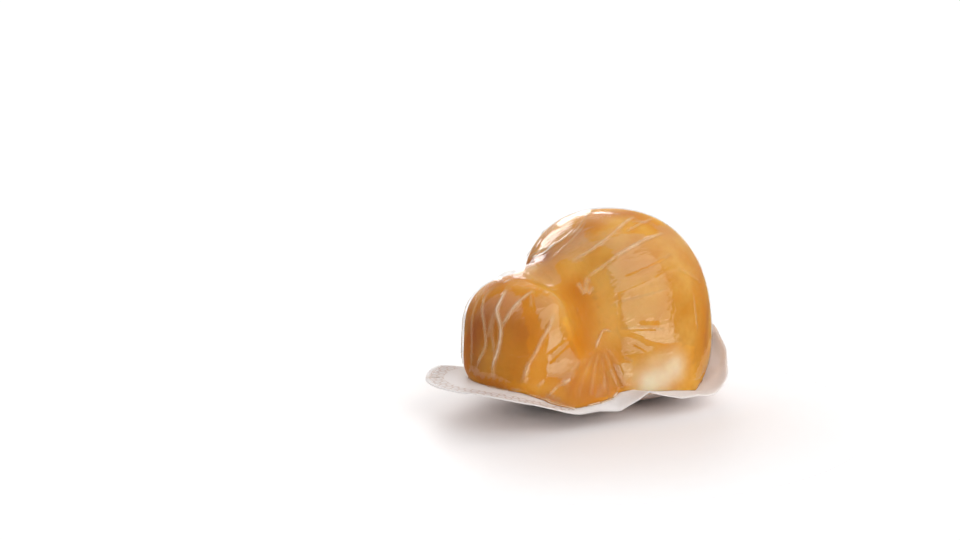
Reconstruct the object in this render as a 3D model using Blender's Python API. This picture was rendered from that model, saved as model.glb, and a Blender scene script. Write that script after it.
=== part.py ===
"""A smoked scamorza cheese sealed in its vacuum pack.

The cheese is a gourd lying on its side: a round body and a smaller head, raised a little off the
table. A clear film is drawn tight over it and runs out into a thin rim. A printed backing film
closes the pack below. The rim is bent and curled, as on a pack that has been handled.

Frame: metres, +Z up, the pack stands on z = 0. The head points to -X and the body to +X.
"""

import math

import bmesh
import bpy
from mathutils import Vector

MM = 0.001

# The cheese is made of lumps: centre, radii across, then radius above and below the widest level.
# A power over 2 squares the profile, and lean moves the lump sideways as it rises.
BODY = {
    "centre": Vector((21.2, 0.0, 26.2)) * MM,
    "across": Vector((34.8, 34.8)) * MM,
    "above": 40.3 * MM,
    "below": 35.5 * MM,
    "power": 2.4,
    "lean": Vector((-0.055, 0.035)),
}
HEAD = {
    "centre": Vector((-23.5, 0.0, 28.3)) * MM,
    "across": Vector((21.1, 20.2)) * MM,
    "above": 18.7 * MM,
    "below": 25.0 * MM,
    "power": 2.7,
    "lean": Vector((0.0, 0.0)),
}
NECK_BLEND = 14.4 * MM

# On the near side the film stands off the neck in a web that runs down to the rim.
WEB = {
    "centre": Vector((-10.5, -13.9, 0.0)) * MM,
    "across": Vector((11.5, 11.5)) * MM,
    "above": 24.0 * MM,
    "below": 9.6 * MM,
    "power": 1.6,
    "lean": Vector((0.0, 0.0)),
}
WEB_BLEND = 9.6 * MM

# The rim's outline before it is curled: a pear round the cheese.
RIM_HEAD_CENTRE = Vector((-26.8, 0.0)) * MM
RIM_HEAD_RADIUS = 31.2 * MM
RIM_BODY_CENTRE = Vector((24.2, 0.0)) * MM
RIM_BODY_RADIUS = 42.2 * MM
RIM_BODY_POWER = 2.4  # squarer than a circle at the body's end
RIM_BLEND = 20.0 * MM

# The pack stands on the floor's flat spot, under the body.
FLOOR_CENTRE = Vector((11.6, 0.0)) * MM
FLAT_SHARE = 0.45  # how far out towards the seal line the floor stays flat
FLOOR_POWER = 1.5  # how it rises from there

CHEESE_COLOUR = (0.62, 0.30, 0.07)
BACKING_COLOUR = (0.78, 0.70, 0.66)

FILM_THICK = 0.5 * MM
BACKING_THICK = 0.5 * MM
SEAL_GAP = 0.3 * MM

# Every column of points looks out from the hub, inside the cheese.
HUB = Vector((5.8, 0.0, 23.0)) * MM
AROUND = 72
DOME_RINGS = 18
RIM_RINGS = 4
FLOOR_RINGS = 7
FARTHEST = 120.0 * MM  # well outside the pack
LOWEST_TILT = math.radians(-75)  # well below the seal line
HALVINGS = 30

# How the rim lies, at bearings counted from +X towards +Y, in degrees:
# (bearing, height of the seal line in mm, slope of the rim where it starts, slope at its edge)
RIM_LAY = [
    (0, 8.5, 66, 82),
    (35, 6.5, 25, 40),
    (90, 4.3, 0, 12),
    (130, 6.7, 5, 10),
    (150, 9.0, 12, 10),
    (170, 10.0, 10, 5),
    (198, 10.0, 8, 8),
    (208, 8.2, 10, 10),
    (216, 6.2, 10, 12),
    (224, 4.0, 8, 12),
    (245, 4.3, 8, 12),
    (265, 5.8, 0, 8),
    (296, 6.2, -8, 0),
    (312, 5.8, 0, 35),
    (323, 5.3, 25, 70),
    (334, 4.8, 50, 82),
    (345, 6.5, 62, 85),
]


def soft_min(a, b, blend):
    """The smaller of two distances, rounded where they cross."""
    share = max(blend - abs(a - b), 0.0) / blend
    return min(a, b) - share * share * blend / 4


def lump_distance(point, lump):
    """Roughly how far a point is outside a lump."""
    off = point - lump["centre"]
    across, lean, power = lump["across"], lump["lean"], lump["power"]
    flat = math.hypot((off.x - lean.x * off.z) / across.x, (off.y - lean.y * off.z) / across.y)
    rise = abs(off.z) / (lump["above"] if off.z > 0 else lump["below"])
    return ((flat**power + rise**power) ** (1 / power) - 1) * min(across)


def pocket_distance(point):
    """Roughly how far a point is outside the film pocket."""
    cheese = soft_min(lump_distance(point, BODY), lump_distance(point, HEAD), NECK_BLEND)
    return soft_min(cheese, lump_distance(point, WEB), WEB_BLEND)


def rim_distance(point):
    """Roughly how far a point in plan is outside the rim's flat outline."""
    off = point - RIM_BODY_CENTRE
    across = abs(off.x) ** RIM_BODY_POWER + abs(off.y) ** RIM_BODY_POWER
    body = across ** (1 / RIM_BODY_POWER) - RIM_BODY_RADIUS
    head = (point - RIM_HEAD_CENTRE).length - RIM_HEAD_RADIUS
    return soft_min(body, head, RIM_BLEND)


def reach(distance, start, direction):
    """How far along direction the surface lies, found by halving."""
    near, far = 0.0, FARTHEST
    for _ in range(HALVINGS):
        middle = (near + far) / 2
        if distance(start + direction * middle) < 0:
            near = middle
        else:
            far = middle
    return (near + far) / 2


def pocket_point(bearing, tilt):
    """Where the pocket's surface is met from the hub."""
    level = math.cos(tilt)
    way = Vector((math.cos(bearing) * level, math.sin(bearing) * level, math.sin(tilt)))
    return HUB + way * reach(pocket_distance, HUB, way)


def lay_at(bearing, column):
    """A value of RIM_LAY at any bearing, eased from row to row."""
    turn = math.degrees(bearing) % 360
    rows = RIM_LAY + [(RIM_LAY[0][0] + 360, *RIM_LAY[0][1:])]
    for before, after in zip(rows, rows[1:]):
        if before[0] <= turn <= after[0]:
            share = (turn - before[0]) / (after[0] - before[0])
            eased = share * share * (3 - 2 * share)
            return before[column] + (after[column] - before[column]) * eased
    return rows[0][column]


def seal_tilt(bearing):
    """The tilt at which the pocket comes down to the seal line."""
    goal = lay_at(bearing, 1) * MM
    low, high = LOWEST_TILT, 0.0
    for _ in range(HALVINGS):
        middle = (low + high) / 2
        if pocket_point(bearing, middle).z < goal:
            low = middle
        else:
            high = middle
    return (low + high) / 2


def rim_slopes(bearing):
    """The slope of each stretch of the rim, from the seal line out."""
    first, last = math.radians(lay_at(bearing, 2)), math.radians(lay_at(bearing, 3))
    return [first + (last - first) * (ring + 0.5) / RIM_RINGS for ring in range(RIM_RINGS)]


def rim_line(bearing, start, offset):
    """The rim's points from the seal line out, in a curl that keeps its width, moved out by offset."""
    out = Vector((math.cos(bearing), math.sin(bearing), 0.0))
    hub = HUB.to_2d()
    width = reach(rim_distance, hub, out.to_2d()) - (start.to_2d() - hub).length
    slopes = rim_slopes(bearing)
    line = []
    point = start.copy()
    for before, after in zip([0.0, *slopes], [*slopes, slopes[-1]]):
        lean, bend = (before + after) / 2, (after - before) / 2
        side = Vector((0, 0, math.cos(lean))) - out * math.sin(lean)
        line.append(point + side * offset / math.cos(bend))
        point = point + (out * math.cos(after) + Vector((0, 0, math.sin(after)))) * width / RIM_RINGS
    return line


def floor_line(start, low):
    """Points from the seal line in to the middle, down to a flat spot at height low."""
    line = []
    for ring in range(1, FLOOR_RINGS):
        share = 1 - ring / FLOOR_RINGS
        flat = FLOOR_CENTRE.lerp(start.to_2d(), share)
        rise = max(0.0, share - FLAT_SHARE) / (1 - FLAT_SHARE)
        line.append(Vector((flat.x, flat.y, low + (start.z - low) * rise**FLOOR_POWER)))
    return line


def shaped_sphere(name, columns, top, bottom):
    """A UV sphere whose rings are moved onto the columns of points."""
    rings = len(columns[0]) + 1
    mesh = bmesh.new()
    bmesh.ops.create_uvsphere(mesh, u_segments=AROUND, v_segments=rings, radius=1.0)
    for vert in mesh.verts:
        ring = round(math.acos(max(-1.0, min(1.0, vert.co.z))) / math.pi * rings)
        step = round(math.atan2(vert.co.y, vert.co.x) / math.tau * AROUND) % AROUND
        if ring == 0:
            vert.co = top
        elif ring == rings:
            vert.co = bottom
        else:
            vert.co = columns[step][ring - 1]
    bmesh.ops.recalc_face_normals(mesh, faces=mesh.faces)
    # The facing sides of two pieces split their warped quads alike, so that neither cuts the other.
    bmesh.ops.triangulate(mesh, faces=mesh.faces, quad_method="SHORT_EDGE")
    data = bpy.data.meshes.new(name)
    mesh.to_mesh(data)
    mesh.free()
    data.shade_smooth()
    return bpy.data.objects.new(name, data)


def material(name, colour, roughness):
    made = bpy.data.materials.new(name)
    made.use_nodes = True
    shader = made.node_tree.nodes["Principled BSDF"]
    shader.inputs["Base Color"].default_value = (*colour, 1)
    shader.inputs["Roughness"].default_value = roughness
    shader.inputs["Metallic"].default_value = 0.0
    return made


def make_pocket():
    """The clear film, drawn tight over the cheese, with its rim, solid as a sealed bag."""
    lift = BACKING_THICK + SEAL_GAP
    columns = []
    for step in range(AROUND):
        bearing = math.tau * step / AROUND
        lowest = seal_tilt(bearing)
        dome = []
        for ring in range(1, DOME_RINGS + 1):
            tilt = math.pi / 2 + (lowest - math.pi / 2) * ring / DOME_RINGS
            dome.append(pocket_point(bearing, tilt))
        start = dome.pop()
        over = rim_line(bearing, start, FILM_THICK)
        under = rim_line(bearing, start, 0.0)
        columns.append(dome + over + under[::-1] + floor_line(start, lift))
    top = pocket_point(0.0, math.pi / 2)
    return shaped_sphere("film_pocket", columns, top, FLOOR_CENTRE.to_3d() + Vector((0, 0, lift)))


def make_backing():
    """The printed film that closes the pack: flat under the cheese, curled with the rim."""
    drop = -(BACKING_THICK + SEAL_GAP)
    columns = []
    for step in range(AROUND):
        bearing = math.tau * step / AROUND
        start = pocket_point(bearing, seal_tilt(bearing))
        over = rim_line(bearing, start, -SEAL_GAP)
        under = rim_line(bearing, start, drop)
        inner_over = floor_line(over[0], BACKING_THICK)
        inner_under = floor_line(under[0], 0.0)
        columns.append(inner_over[::-1] + over + under[::-1] + inner_under)
    middle = FLOOR_CENTRE.to_3d()
    return shaped_sphere("backing_film", columns, middle + Vector((0, 0, BACKING_THICK)), middle)


def main():
    for old in list(bpy.data.objects):
        bpy.data.objects.remove(old)
    pack = bpy.data.collections.new("smoked_scamorza_pack")
    bpy.context.scene.collection.children.link(pack)
    pocket, backing = make_pocket(), make_backing()
    pocket.data.materials.append(material("smoked cheese under clear film", CHEESE_COLOUR, 0.25))
    backing.data.materials.append(material("white backing film", BACKING_COLOUR, 0.4))
    for piece in (pocket, backing):
        pack.objects.link(piece)


main()
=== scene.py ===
# A smoked scamorza in its vacuum pack: a gourd-shaped cheese under clear film, lying on its printed
# backing film. Everything is in metres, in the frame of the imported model.

import math
from functools import partial

import bpy
import numpy as np
from mathutils import Matrix, Vector
from mathutils.bvhtree import BVHTree


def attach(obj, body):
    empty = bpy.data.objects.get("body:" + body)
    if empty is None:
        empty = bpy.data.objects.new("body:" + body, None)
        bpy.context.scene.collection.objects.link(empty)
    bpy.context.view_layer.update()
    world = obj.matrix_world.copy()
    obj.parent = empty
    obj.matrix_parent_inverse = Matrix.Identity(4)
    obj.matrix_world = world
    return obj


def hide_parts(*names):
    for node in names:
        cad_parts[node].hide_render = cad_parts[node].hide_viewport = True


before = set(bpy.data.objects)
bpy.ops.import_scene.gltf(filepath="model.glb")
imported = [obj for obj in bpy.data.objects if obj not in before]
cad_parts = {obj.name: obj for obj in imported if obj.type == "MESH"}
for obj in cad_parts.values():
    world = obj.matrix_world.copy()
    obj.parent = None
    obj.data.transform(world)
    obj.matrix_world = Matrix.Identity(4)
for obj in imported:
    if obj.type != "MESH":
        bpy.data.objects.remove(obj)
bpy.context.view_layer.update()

mm = 0.001
setMode = bpy.ops.object.mode_set


def hexColour(code):
    # sRGB hex to the linear colour that Blender's sockets take
    parts = [int(code[i : i + 2], 16) / 255 for i in (0, 2, 4)]
    return (*[p / 12.92 if p <= 0.04045 else ((p + 0.055) / 1.055) ** 2.4 for p in parts], 1.0)


def addNode(tree, kind, settings={}, output=0):
    # adds a node and gives one of its outputs; a setting is a property or a socket, and another node's
    # output is linked to the socket that it is given for
    node = tree.nodes.new("ShaderNode" + kind)
    for key, value in settings.items():
        if isinstance(value, bpy.types.NodeSocket):
            tree.links.new(value, node.inputs[key])
        elif isinstance(key, str) and hasattr(node, key) and key not in node.inputs:
            setattr(node, key, value)
        else:
            node.inputs[key].default_value = value
    return node.outputs[output] if node.outputs else None


ramp = ("From Min", "From Max", "To Min", "To Max")  # a look gives the first two of them, or all four
eased = {"interpolation_type": "SMOOTHSTEP"}


def newMaterial(name):
    # a material without a shader yet, what adds its nodes, and where each point of the piece lies
    made = bpy.data.materials.new(name)
    made.use_nodes = True
    made.node_tree.nodes.clear()
    add = partial(addNode, made.node_tree)
    return made, add, add("TexCoord", output="Object")


def addObject(name, data):
    made = bpy.data.objects.new(name, data)
    bpy.context.scene.collection.objects.link(made)
    return made


cameraPlace = {  # as in the photograph
    "azimuth": -40.0,  # degrees round the pack, 0 looks along +Y
    "elevation": 12.0,
    "distance": 0.806,
    "lens": 85.0,
    "sensor": 36.0,
    "picture": (960, 540),
    "rowOrigin": (571.3, 400.1),  # the pixel where the frame's origin shows
}


def cameraAxes():
    a, e = math.radians(cameraPlace["azimuth"]), math.radians(cameraPlace["elevation"])
    back = Vector((math.sin(a) * math.cos(e), -math.cos(a) * math.cos(e), math.sin(e)))
    right = Vector((math.cos(a), math.sin(a), 0.0))
    return right, back.cross(right), back


def pixelWay(x, y):
    # from the camera through a pixel of the photograph, to one metre's depth
    right, up, back = cameraAxes()
    wide, high = cameraPlace["picture"]
    focal = cameraPlace["lens"] / cameraPlace["sensor"] * wide
    return (right * (x - wide / 2) - up * (y - high / 2)) / focal - back


def cameraSpot():
    return -pixelWay(*cameraPlace["rowOrigin"]) * cameraPlace["distance"]


def makeCamera():
    camera = addObject("camera", bpy.data.cameras.new("camera"))
    camera.data.lens = cameraPlace["lens"]
    camera.data.sensor_width = cameraPlace["sensor"]
    turn = Matrix(cameraAxes()).transposed()
    camera.matrix_world = Matrix.Translation(cameraSpot()) @ turn.to_4x4()
    bpy.context.scene.camera = camera


pocketRings = {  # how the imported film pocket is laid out, ring by ring, down from its top
    "dome": 17,  # rings over the cheese, down to just above the seal line
    "over": 5,  # then out over the rim, from the seal line
    "under": 5,  # and back in under it, to the floor
    "poleEdges": 12,  # only the top and bottom points have more edges than this
    "merge": 0.001 * mm,
    "sameColumn": math.radians(1.0),  # columns stand 5 degrees apart
}
sealRing = pocketRings["dome"] + 1
edgeRing = pocketRings["dome"] + pocketRings["over"]
lastRing = edgeRing + pocketRings["under"]


def selectOnly(piece):
    bpy.ops.object.select_all(action="DESELECT")
    piece.select_set(True)
    bpy.context.view_layer.objects.active = piece


def selectVertices(piece, wanted):
    # goes into edit mode with just these vertices selected
    selectOnly(piece)
    setMode(mode="EDIT")
    bpy.ops.mesh.select_mode(type="VERT")
    bpy.ops.mesh.select_all(action="DESELECT")
    setMode(mode="OBJECT")
    for i in wanted:
        piece.data.vertices[i].select = True
    setMode(mode="EDIT")


def selectEdges(piece, isWanted):
    # goes into edit mode with just the edges selected whose two ends pass the test
    selectVertices(piece, [])
    bpy.ops.mesh.select_mode(type="EDGE")
    setMode(mode="OBJECT")
    for edge in piece.data.edges:
        edge.select = isWanted(*edge.vertices)
    setMode(mode="EDIT")


def readVectors(found, key):
    values = np.empty(len(found) * 3)
    found.foreach_get(key, values)
    return values.reshape(-1, 3)


def points(piece):
    return readVectors(piece.data.vertices, "co")


def normals(piece):
    return readVectors(piece.data.vertex_normals, "vector")


def movePoints(piece, places):
    piece.data.vertices.foreach_set("co", places.ravel())
    piece.data.update()


def neighbours(piece):
    # the vertices that edges join to each vertex
    mates = [[] for _ in piece.data.vertices]
    for edge in piece.data.edges:
        i, j = edge.vertices
        mates[i].append(j)
        mates[j].append(i)
    return mates


def ringsOf(piece, count):
    # the vertices ring by ring, from the top point where all the columns meet
    mates = neighbours(piece)
    poles = [i for i, near in enumerate(mates) if len(near) > pocketRings["poleEdges"]]
    top = max(poles, key=lambda i: piece.data.vertices[i].co.z)
    rings, seen = [[top]], {top}
    for _ in range(count):
        rings.append(sorted({j for i in rings[-1] for j in mates[i]} - seen))
        seen.update(rings[-1])
    return rings


def joinQuads(piece):
    # dissolves the diagonals: edges that go to another ring and another column
    rings = ringsOf(piece, lastRing)
    ringOf = {i: k for k, ring in enumerate(rings) for i in ring}
    places = points(piece)
    away = places[:, :2] - places[rings[0][0], :2]
    bearings = np.arctan2(away[:, 1], away[:, 0])

    def isDiagonal(i, j):
        here, there = ringOf.get(i, 0), ringOf.get(j, 0)
        turn = abs(math.remainder(bearings[i] - bearings[j], math.tau))
        return min(here, there) > 0 and here != there and turn > pocketRings["sameColumn"]

    selectEdges(piece, isDiagonal)
    bpy.ops.mesh.dissolve_edges(use_verts=False)
    setMode(mode="OBJECT")


def copyOfPocket(name):
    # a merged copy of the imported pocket, in quads
    piece = addObject(name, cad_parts["film_pocket"].data.copy())
    piece.data.materials.clear()
    piece.data.name = name
    selectOnly(piece)
    setMode(mode="EDIT")
    bpy.ops.mesh.select_all(action="SELECT")
    bpy.ops.mesh.remove_doubles(threshold=pocketRings["merge"])
    setMode(mode="OBJECT")
    joinQuads(piece)
    piece.data.shade_smooth()
    return piece


def creaseRing(piece, ring, sharpness):
    # edges along a ring that stay sharp under subdivision
    selectEdges(piece, lambda i, j: {i, j} <= set(ring))
    bpy.ops.transform.edge_crease(value=sharpness)
    setMode(mode="OBJECT")


def applyModifier(piece, kind, **settings):
    selectOnly(piece)
    modifier = piece.modifiers.new(kind.lower(), kind)
    for key, value in settings.items():
        setattr(modifier, key, value)
    bpy.ops.object.modifier_apply(modifier=modifier.name)


def subdivide(piece, levels):
    applyModifier(piece, "SUBSURF", levels=levels, render_levels=levels)


wholeWeight = 0.99  # from here on a place belongs wholly to a vertex group


def markRings(piece, name, rings, shares):
    # a vertex group with a share for each ring
    group = piece.vertex_groups.new(name=name)
    for ring, share in zip(rings, shares):
        group.add(ring, share, "REPLACE")


def groupWeights(piece, name):
    # a vertex group as an array
    index = piece.vertex_groups[name].index
    found = np.zeros(len(piece.data.vertices))
    for vertex in piece.data.vertices:
        for group in vertex.groups:
            if group.group == index:
                found[vertex.index] = group.weight
    return found


def keepAttribute(piece, name, values):
    attribute = piece.data.attributes.new(name, "FLOAT", "POINT")
    attribute.data.foreach_set("value", values.astype(np.float32))


def smoothStep(values):
    eased = np.clip(values, 0, 1)
    return eased * eased * (3 - 2 * eased)


def surfaceTree(piece):
    faces = [tuple(f.vertices) for f in piece.data.polygons]
    return BVHTree.FromPolygons([v.co for v in piece.data.vertices], faces)


drawing = {
    "steps": 4,  # points from each of a line's corners to the next
    "wellOutside": 0.2,  # metres, further out than any of the pack
    "fadesBy": 3,  # widths from its line, where a stroke has faded away
}


def smoothLine(corners):
    # a line eased through its corners (Catmull-Rom)
    corners = np.array(corners, float)
    line = [2 * corners[0] - corners[1], *corners, 2 * corners[-1] - corners[-2]]
    found = []
    for p, q, r, s in zip(line, line[1:], line[2:], line[3:]):
        for t in np.arange(drawing["steps"]) / drawing["steps"]:
            bend = (2 * p - 5 * q + 4 * r - s) * t**2 + (3 * q - p - 3 * r + s) * t**3
            found.append(0.5 * (2 * q + (r - p) * t + bend))
    return [*found, corners[-1]]


def surfaceLine(tree, corners, centre=None):
    # the surface's points under a line drawn on the photograph; or, with a centre in mm, the points met
    # from outside along a line of bearings and tilts seen from it
    found = []
    for x, y in smoothLine(corners):
        start, way = cameraSpot(), pixelWay(x, y).normalized()
        if centre:
            b, t = math.radians(x), math.radians(y)
            way = -Vector((math.cos(b) * math.cos(t), math.sin(b) * math.cos(t), math.sin(t)))
            start = Vector(centre) * mm - way * drawing["wellOutside"]
        hit = tree.ray_cast(start, way)[0]
        if hit is not None:
            found.append(np.array(hit))
    return found


def heightUnder(tree, place):
    # how high the surface lies under a place, or over it
    hit = tree.ray_cast(Vector((*place[:2], drawing["wellOutside"])), Vector((0, 0, -1)))[0]
    return None if hit is None else hit.z


def fromLine(places, line):
    # each place's distance from the line, and how far along it the nearest point is, from 0 to 1
    nearest = np.full(len(places), np.inf)
    along = np.zeros(len(places))
    lengths = [np.linalg.norm(q - p) for p, q in zip(line, line[1:])]
    passed = 0.0
    for p, q, length in zip(line, line[1:], lengths):
        if length > 0:
            t = np.clip((places - p) @ (q - p) / length**2, 0, 1)
            away = np.linalg.norm(places - p - t[:, None] * (q - p), axis=1)
            closer = away < nearest
            nearest[closer] = away[closer]
            along[closer] = (passed + t[closer] * length) / sum(lengths)
        passed += length
    return nearest, along


def stroke(places, line, width, taper=None, sharpness=2.0):
    # from 0 to 1, how strongly each place takes the stroke; a sharpness under 2 gives a pinched crest
    share = np.zeros(len(places))
    margin = drawing["fadesBy"] * width
    low, high = np.min(line, axis=0) - margin, np.max(line, axis=0) + margin
    near = np.flatnonzero(np.all((places > low) & (places < high), axis=1))
    if len(near) and len(line) > 1:
        away, along = fromLine(places[near], line)
        ends = smoothStep(along / taper) * smoothStep((1 - along) / taper) if taper else 1.0
        share[near] = np.exp(-((away / width) ** sharpness)) * ends
    return share


# broad strokes: (pixels in the photograph, half width and height in mm), or with bearings and tilts in
# degrees, and the centre in mm that they are seen from
sculpted = {  # on the cheese, and so on the film over it
    "neckCrease": ([(548, 280), (561, 288), (573, 300), (581, 315), (587, 332)], 6.0, -2.8),
    "headCorner": ([(560, 310), (567, 330), (571, 352)], 8.0, 2.2),
    "headTop": ([(538, 291), (552, 294)], 6.0, 1.4),
    "headFacet": ([(549, 324), (541, 342), (531, 362), (523, 384)], 5.0, 1.1),
    "bodyUnder": ([(626, 376), (650, 380), (685, 382)], 10.0, -1.6),
    "headCrown": ([(501, 284), (509, 281), (517, 279)], 8.0, 1.9),
    "bodyShoulder": ([(644, 222), (658, 228)], 8.0, -0.8),
    "farNeck": ([(90, 55), (90, 35), (90, 10), (90, -15)], 6.0, -2.6, (-9.0, 0.0, 22.0)),
}
standingOff = {  # on the film alone
    "headBase": ([(526, 389), (545, 393), (562, 398)], 5.0, 0.8),
    "webTop": ([(590, 325), (597, 335)], 5.0, -1.6),
    "neckBridge": ([(515, 276), (523, 273), (532, 270)], 4.5, 1.7),
}
# towards the seal the sides come down steeply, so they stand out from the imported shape: (bearing from the
# middle in degrees, how far out in mm), and how much of it each ring takes, from over the seal to the rim
steepSides = {
    "middle": (5.8, 0.0),
    "sides": {
        "out": [
            (0, 0.0), (30, 1.0), (90, 2.0), (150, 2.0), (180, 2.5), (205, 3.0),
            (245, 3.0), (262, 3.8), (290, 4.5), (306, 2.8), (316, 0.2), (360, 0.0),
        ],
        "firstRing": 15,
        "shares": (0.1, 0.35, 0.7, 1.0, 0.75, 0.5, 0.25),
    },
    # the web runs out like a tent, almost to the rim's corner
    "web": {
        "out": [
            (178, 0.0), (190, 1.5), (202, 4.0), (212, 6.0), (222, 6.8), (234, 5.4), (248, 3.0), (265, 0.0),
        ],
        "firstRing": 9,
        "shares": (0.04, 0.09, 0.15, 0.23, 0.33, 0.44, 0.57, 0.71, 0.85, 1.0, 0.75, 0.5, 0.25),
    },
}
sealSeat = {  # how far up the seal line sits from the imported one: (bearing in degrees, mm)
    "lift": [
        (0, 0.0), (110, 0.0), (150, 1.5), (170, 3.0), (183, 3.1), (191, 2.5), (201, 1.7), (208, 0.6),
        (212, 0.1), (217, 0.6), (222, 1.4), (228, 2.3), (236, 2.8), (244, 3.7), (252, 3.9), (260, 3.0),
        (268, 2.4), (280, 2.0), (290, 1.4), (300, 0.2), (306, -0.8), (314, -0.3), (322, 0.0), (360, 0.0),
    ],
    "firstRing": 15,
    "shares": (0.1, 0.35, 0.7, 1.0),  # each ring's, down to it
    "floor": 14.0 * mm,  # how far in from it the backing film takes part
}


def inPlan(places):
    # bearings in degrees, distances and ways out, all from the middle
    away = places[:, :2] - np.array(steepSides["middle"]) * mm
    reach = np.linalg.norm(away, axis=1)
    return np.degrees(np.arctan2(away[:, 1], away[:, 0])) % 360, reach, away / reach[:, None]


def readOff(table, bearings):
    # a table of mm by bearing, read off in metres
    return np.interp(bearings, *zip(*table)) * mm


def markSides(piece, rings):
    for name, settings in (("sides", steepSides["sides"]), ("web", steepSides["web"]), ("seat", sealSeat)):
        markRings(piece, name, rings[settings["firstRing"] :], settings["shares"])


def nearSeal(piece, rimLines):
    # how much each place takes part in the seal line's lift, by how near the line it lies
    bearings, reach, _ = inPlan(points(piece))
    seal, edge = (np.interp(bearings, *line, period=360) for line in rimLines)
    beyond = 1 - np.clip((reach - seal) / (edge - seal), 0, 1)
    within = smoothStep(1 - (seal - reach) / sealSeat["floor"])
    return np.where(reach > seal, beyond, within)


def liftSeat(piece, share):
    places = points(piece)
    places[:, 2] += readOff(sealSeat["lift"], inPlan(places)[0]) * share
    movePoints(piece, places)


def standOut(piece, gap):
    # moves the sides out, and keeps them over the backing film
    places = points(piece)
    bearings, _, outward = inPlan(places)
    out = sum(readOff(steepSides[k]["out"], bearings) * groupWeights(piece, k) for k in ("sides", "web"))
    places[:, :2] += outward * out[:, None]
    under = surfaceTree(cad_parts["backing_film"])
    for i in np.flatnonzero(out > 0):
        floor = heightUnder(under, places[i])
        if floor is not None:
            places[i, 2] = max(places[i, 2], floor + gap)
    movePoints(piece, places)


# how the crumpled rim's edge is lifted and moved out, eased out from the seal line: (bearing in degrees, mm)
rimWave = {
    "lift": [
        (0, 3.3), (12, 2.6), (25, 1.2), (40, 0.0), (150, 0.0), (165, 0.8), (176, 1.5), (186, 1.9),
        (191, 2.1), (196, 1.6), (201, 0.9), (207, 0.2), (212, 0.0), (236, 0.0), (247, -1.2), (257, 1.5),
        (264, 4.4), (271, 2.6), (281, 1.2), (291, 1.5), (298, 0.3), (303, 0.0), (326, 0.0), (331, 0.6),
        (336, 2.0), (341, 3.0), (348, 3.5), (360, 3.3),
    ],
    "out": [(300, 0.0), (308, -1.0), (316, -2.5), (322, -2.0), (330, -0.8), (338, 0.0)],
    "shares": (0.0, 0.15, 0.42, 0.72, 1.0),
}


def waveRim(piece):
    places, share = points(piece), groupWeights(piece, "wave")
    bearings, _, outward = inPlan(places)
    places[:, 2] += readOff(rimWave["lift"], bearings) * share
    places[:, :2] += outward * (readOff(rimWave["out"], bearings) * share)[:, None]
    movePoints(piece, places)


def sculpt(piece, strokes, inward):
    # raises the strokes, and then sinks each place by its share of inward
    places, ways, tree = points(piece), normals(piece), surfaceTree(piece)
    moved = -inward
    for corners, width, height, *centre in strokes.values():
        moved = moved + height * mm * stroke(places, surfaceLine(tree, corners, *centre), width * mm)
    movePoints(piece, places + ways * moved[:, None])


def spread(places, tree, spots):
    # how far each place is covered by soft spots along lines drawn on the photograph or round a centre
    found = np.zeros(len(places))
    for corners, width, amount, *centre in spots:
        found = np.maximum(found, amount * stroke(places, surfaceLine(tree, corners, *centre), width * mm))
    return found


cheeseShape = {
    "under": 0.55 * mm,  # how far it lies inside the film
    "tightFoot": 0.85,  # how much less at the seal line
    "overBacking": 0.3 * mm,
    "corner": 0.9,  # how sharp it meets the backing film
    "levels": 2,
    "web": (-10.5, -15.5),  # mm in plan, where the film stands off the neck
    "webReach": 15.0,  # mm
    "webDepth": 4.0 * mm,
    "smoothTo": math.radians(40),
    "footGap": 0.15 * mm,  # over the backing film
}


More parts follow.
